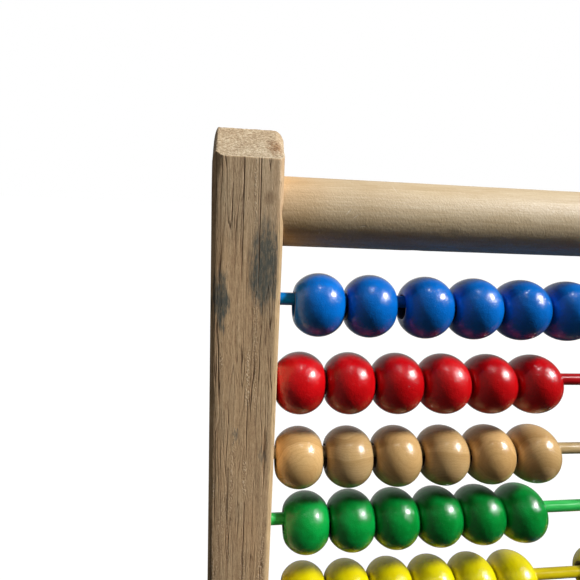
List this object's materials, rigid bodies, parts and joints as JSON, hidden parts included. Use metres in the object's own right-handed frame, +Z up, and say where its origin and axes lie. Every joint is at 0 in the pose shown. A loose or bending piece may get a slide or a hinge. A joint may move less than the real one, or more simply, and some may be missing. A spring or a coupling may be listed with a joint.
{
  "type": "counting frame",
  "caption": "Free-standing wooden counting frame: coloured beads slide on metal rods between two square posts joined by round dowels.",
  "frame": {"origin": "on the table top, below the middle of the frame", "axes": "+X along the rods to the right, +Y away from the child, +Z up"},
  "size_m": [0.28, 0.13, 0.35],
  "materials": {
    "post_wood": "matte",
    "dowel_wood": "satin",
    "foot_wood": "matte",
    "screw_steel": "satin",
    "blue_beads": "gloss",
    "red_beads": "gloss",
    "natural_beads": "gloss",
    "green_beads": "gloss",
    "yellow_beads": "gloss",
    "blue_rod": "gloss",
    "red_rod": "gloss",
    "natural_rod": "satin",
    "green_rod": "gloss",
    "yellow_rod": "gloss"
  },
  "bodies": {
    "frame": {"left_post": "post_wood", "right_post": "post_wood", "top_dowel": "dowel_wood", "bottom_dowel": "dowel_wood", "left_foot": "foot_wood", "right_foot": "foot_wood", "foot_screws": "screw_steel", "row_1_rod": "blue_rod", "row_2_rod": "red_rod", "row_3_rod": "natural_rod", "row_4_rod": "green_rod", "row_5_rod": "yellow_rod", "row_6_rod": "blue_rod", "row_7_rod": "red_rod", "row_8_rod": "natural_rod", "row_9_rod": "green_rod", "row_10_rod": "yellow_rod"},
    "row_1_beads_a": {"row_1_beads_a": "blue_beads"},
    "row_1_beads_b": {"row_1_beads_b": "blue_beads"},
    "row_1_beads_c": {"row_1_beads_c": "blue_beads"},
    "row_1_beads_d": {"row_1_beads_d": "blue_beads"},
    "row_1_beads_e": {"row_1_beads_e": "blue_beads"},
    "row_2_beads_a": {"row_2_beads_a": "red_beads"},
    "row_2_beads_b": {"row_2_beads_b": "red_beads"},
    "row_2_beads_c": {"row_2_beads_c": "red_beads"},
    "row_2_beads_d": {"row_2_beads_d": "red_beads"},
    "row_3_beads_a": {"row_3_beads_a": "natural_beads"},
    "row_3_beads_b": {"row_3_beads_b": "natural_beads"},
    "row_3_beads_c": {"row_3_beads_c": "natural_beads"},
    "row_3_beads_d": {"row_3_beads_d": "natural_beads"},
    "row_4_beads_a": {"row_4_beads_a": "green_beads"},
    "row_4_beads_b": {"row_4_beads_b": "green_beads"},
    "row_4_beads_c": {"row_4_beads_c": "green_beads"},
    "row_4_beads_d": {"row_4_beads_d": "green_beads"},
    "row_5_beads_a": {"row_5_beads_a": "yellow_beads"},
    "row_5_beads_b": {"row_5_beads_b": "yellow_beads"},
    "row_5_beads_c": {"row_5_beads_c": "yellow_beads"},
    "row_5_beads_d": {"row_5_beads_d": "yellow_beads"},
    "row_6_beads_a": {"row_6_beads_a": "blue_beads"},
    "row_6_beads_b": {"row_6_beads_b": "blue_beads"},
    "row_6_beads_c": {"row_6_beads_c": "blue_beads"},
    "row_6_beads_d": {"row_6_beads_d": "blue_beads"},
    "row_7_beads_a": {"row_7_beads_a": "red_beads"},
    "row_7_beads_b": {"row_7_beads_b": "red_beads"},
    "row_7_beads_c": {"row_7_beads_c": "red_beads"},
    "row_7_beads_d": {"row_7_beads_d": "red_beads"},
    "row_7_beads_e": {"row_7_beads_e": "red_beads"},
    "row_8_beads_a": {"row_8_beads_a": "natural_beads"},
    "row_8_beads_b": {"row_8_beads_b": "natural_beads"},
    "row_8_beads_c": {"row_8_beads_c": "natural_beads"},
    "row_8_beads_d": {"row_8_beads_d": "natural_beads"},
    "row_9_beads_a": {"row_9_beads_a": "green_beads"},
    "row_9_beads_b": {"row_9_beads_b": "green_beads"},
    "row_9_beads_c": {"row_9_beads_c": "green_beads"},
    "row_9_beads_d": {"row_9_beads_d": "green_beads"},
    "row_10_beads_a": {"row_10_beads_a": "yellow_beads"},
    "row_10_beads_b": {"row_10_beads_b": "yellow_beads"},
    "row_10_beads_c": {"row_10_beads_c": "yellow_beads"},
    "row_10_beads_d": {"row_10_beads_d": "yellow_beads"},
    "row_10_beads_e": {"row_10_beads_e": "yellow_beads"}
  },
  "joints": [
    {"name": "row_1_slide_a", "type": "slide", "parent": "frame", "child": "row_1_beads_a", "axis": [1, 0, -0.0052], "range_m": [-0.0047, 0.0026]},
    {"name": "row_1_slide_b", "type": "slide", "parent": "frame", "child": "row_1_beads_b", "axis": [1, 0, -0.0052], "range_m": [-0.0026, 0.0258]},
    {"name": "row_1_slide_c", "type": "slide", "parent": "frame", "child": "row_1_beads_c", "axis": [1, 0, -0.0052], "range_m": [-0.0258, 0.0098]},
    {"name": "row_1_slide_d", "type": "slide", "parent": "frame", "child": "row_1_beads_d", "axis": [1, 0, -0.0052], "range_m": [-0.0098, 0.0078]},
    {"name": "row_1_slide_e", "type": "slide", "parent": "frame", "child": "row_1_beads_e", "axis": [1, 0, -0.0052], "range_m": [-0.0078, 0.0281]},
    {"name": "row_2_slide_a", "type": "slide", "parent": "frame", "child": "row_2_beads_a", "axis": [1, 0, -0.0052], "range_m": [0, 0.0298]},
    {"name": "row_2_slide_b", "type": "slide", "parent": "frame", "child": "row_2_beads_b", "axis": [1, 0, -0.0052], "range_m": [-0.0298, 0.0118]},
    {"name": "row_2_slide_c", "type": "slide", "parent": "frame", "child": "row_2_beads_c", "axis": [1, 0, -0.0052], "range_m": [-0.0118, 0.0078]},
    {"name": "row_2_slide_d", "type": "slide", "parent": "frame", "child": "row_2_beads_d", "axis": [1, 0, -0.0052], "range_m": [-0.0078, 0.0302]},
    {"name": "row_3_slide_a", "type": "slide", "parent": "frame", "child": "row_3_beads_a", "axis": [1, 0, -0.0035], "range_m": [-0.001, 0.0338]},
    {"name": "row_3_slide_b", "type": "slide", "parent": "frame", "child": "row_3_beads_b", "axis": [1, 0, -0.0035], "range_m": [-0.0338, 0.0098]},
    {"name": "row_3_slide_c", "type": "slide", "parent": "frame", "child": "row_3_beads_c", "axis": [1, 0, -0.0035], "range_m": [-0.0098, 0.0088]},
    {"name": "row_3_slide_d", "type": "slide", "parent": "frame", "child": "row_3_beads_d", "axis": [1, 0, -0.0035], "range_m": [-0.0088, 0.0224]},
    {"name": "row_4_slide_a", "type": "slide", "parent": "frame", "child": "row_4_beads_a", "axis": [0.9999, 0, 0.0105], "range_m": [-0.0047, 0.0278]},
    {"name": "row_4_slide_b", "type": "slide", "parent": "frame", "child": "row_4_beads_b", "axis": [0.9999, 0, 0.0105], "range_m": [-0.0278, 0.0138]},
    {"name": "row_4_slide_c", "type": "slide", "parent": "frame", "child": "row_4_beads_c", "axis": [0.9999, 0, 0.0105], "range_m": [-0.0138, 0.0058]},
    {"name": "row_4_slide_d", "type": "slide", "parent": "frame", "child": "row_4_beads_d", "axis": [0.9999, 0, 0.0105], "range_m": [-0.0058, 0.02941]},
    {"name": "row_5_slide_a", "type": "slide", "parent": "frame", "child": "row_5_beads_a", "axis": [1, 0, 0.0087], "range_m": [-0.0054, 0.0218]},
    {"name": "row_5_slide_b", "type": "slide", "parent": "frame", "child": "row_5_beads_b", "axis": [1, 0, 0.0087], "range_m": [-0.0218, 0.0158]},
    {"name": "row_5_slide_c", "type": "slide", "parent": "frame", "child": "row_5_beads_c", "axis": [1, 0, 0.0087], "range_m": [-0.0158, 0.0058]},
    {"name": "row_5_slide_d", "type": "slide", "parent": "frame", "child": "row_5_beads_d", "axis": [1, 0, 0.0087], "range_m": [-0.0058, 0.03181]},
    {"name": "row_6_slide_a", "type": "slide", "parent": "frame", "child": "row_6_beads_a", "axis": [1, 0, 0], "range_m": [-0.0058, 0.0138]},
    {"name": "row_6_slide_b", "type": "slide", "parent": "frame", "child": "row_6_beads_b", "axis": [1, 0, 0], "range_m": [-0.0138, 0.0178]},
    {"name": "row_6_slide_c", "type": "slide", "parent": "frame", "child": "row_6_beads_c", "axis": [1, 0, 0], "range_m": [-0.0178, 0.0098]},
    {"name": "row_6_slide_d", "type": "slide", "parent": "frame", "child": "row_6_beads_d", "axis": [1, 0, 0], "range_m": [-0.0098, 0.0322]},
    {"name": "row_7_slide_a", "type": "slide", "parent": "frame", "child": "row_7_beads_a", "axis": [1, 0, 0], "range_m": [-0.0078, 0.0138]},
    {"name": "row_7_slide_b", "type": "slide", "parent": "frame", "child": "row_7_beads_b", "axis": [1, 0, 0], "range_m": [-0.0138, 0.0118]},
    {"name": "row_7_slide_c", "type": "slide", "parent": "frame", "child": "row_7_beads_c", "axis": [1, 0, 0], "range_m": [-0.0118, 0.0098]},
    {"name": "row_7_slide_d", "type": "slide", "parent": "frame", "child": "row_7_beads_d", "axis": [1, 0, 0], "range_m": [-0.0098, 0.0078]},
    {"name": "row_7_slide_e", "type": "slide", "parent": "frame", "child": "row_7_beads_e", "axis": [1, 0, 0], "range_m": [-0.0078, 0.0288]},
    {"name": "row_8_slide_a", "type": "slide", "parent": "frame", "child": "row_8_beads_a", "axis": [1, 0, 0], "range_m": [-0.0048, 0.0198]},
    {"name": "row_8_slide_b", "type": "slide", "parent": "frame", "child": "row_8_beads_b", "axis": [1, 0, 0], "range_m": [-0.0198, 0.0118]},
    {"name": "row_8_slide_c", "type": "slide", "parent": "frame", "child": "row_8_beads_c", "axis": [1, 0, 0], "range_m": [-0.0118, 0.0098]},
    {"name": "row_8_slide_d", "type": "slide", "parent": "frame", "child": "row_8_beads_d", "axis": [1, 0, 0], "range_m": [-0.0098, 0.0332]},
    {"name": "row_9_slide_a", "type": "slide", "parent": "frame", "child": "row_9_beads_a", "axis": [1, 0, 0], "range_m": [-0.0098, 0.0158]},
    {"name": "row_9_slide_b", "type": "slide", "parent": "frame", "child": "row_9_beads_b", "axis": [1, 0, 0], "range_m": [-0.0158, 0.0138]},
    {"name": "row_9_slide_c", "type": "slide", "parent": "frame", "child": "row_9_beads_c", "axis": [1, 0, 0], "range_m": [-0.0138, 0.0088]},
    {"name": "row_9_slide_d", "type": "slide", "parent": "frame", "child": "row_9_beads_d", "axis": [1, 0, 0], "range_m": [-0.0088, 0.0312]},
    {"name": "row_10_slide_a", "type": "slide", "parent": "frame", "child": "row_10_beads_a", "axis": [1, 0, 0], "range_m": [-0.0058, 0.0158]},
    {"name": "row_10_slide_b", "type": "slide", "parent": "frame", "child": "row_10_beads_b", "axis": [1, 0, 0], "range_m": [-0.0158, 0.0118]},
    {"name": "row_10_slide_c", "type": "slide", "parent": "frame", "child": "row_10_beads_c", "axis": [1, 0, 0], "range_m": [-0.0118, 0.0098]},
    {"name": "row_10_slide_d", "type": "slide", "parent": "frame", "child": "row_10_beads_d", "axis": [1, 0, 0], "range_m": [-0.0098, 0.0088]},
    {"name": "row_10_slide_e", "type": "slide", "parent": "frame", "child": "row_10_beads_e", "axis": [1, 0, 0], "range_m": [-0.0088, 0.0278]}
  ]
}
